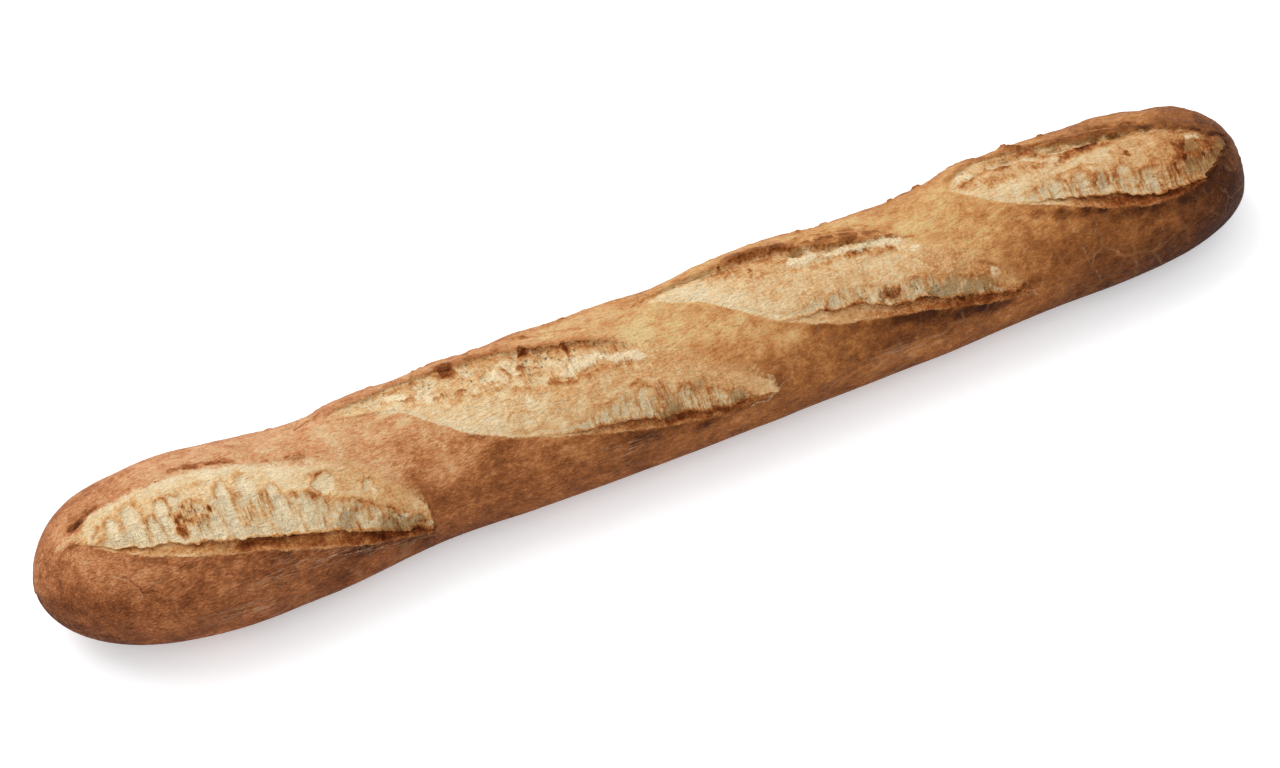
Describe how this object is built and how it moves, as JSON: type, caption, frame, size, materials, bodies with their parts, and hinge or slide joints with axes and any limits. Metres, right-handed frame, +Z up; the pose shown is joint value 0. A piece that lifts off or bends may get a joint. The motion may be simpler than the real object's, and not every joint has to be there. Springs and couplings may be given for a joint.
{
  "type": "baguette loaf",
  "caption": "Long slender uncut bread loaf with rounded tips, a flat underside and torn diagonal slashes along its crusty top.",
  "frame": {"origin": "middle of the loaf's bounding box, on the flat underside it rests on", "axes": "+X along the loaf towards the narrower, darker tip; +Z up through the slashed crown; +Y across, away from the side where the slashes run down"},
  "size_m": [0.52, 0.076, 0.0574],
  "materials": {
    "crust": "browned bread crust, satin, with torn pale crumb in the slashes"
  },
  "bodies": {
    "root": {"loaf": "crust"}
  },
  "joints": []
}
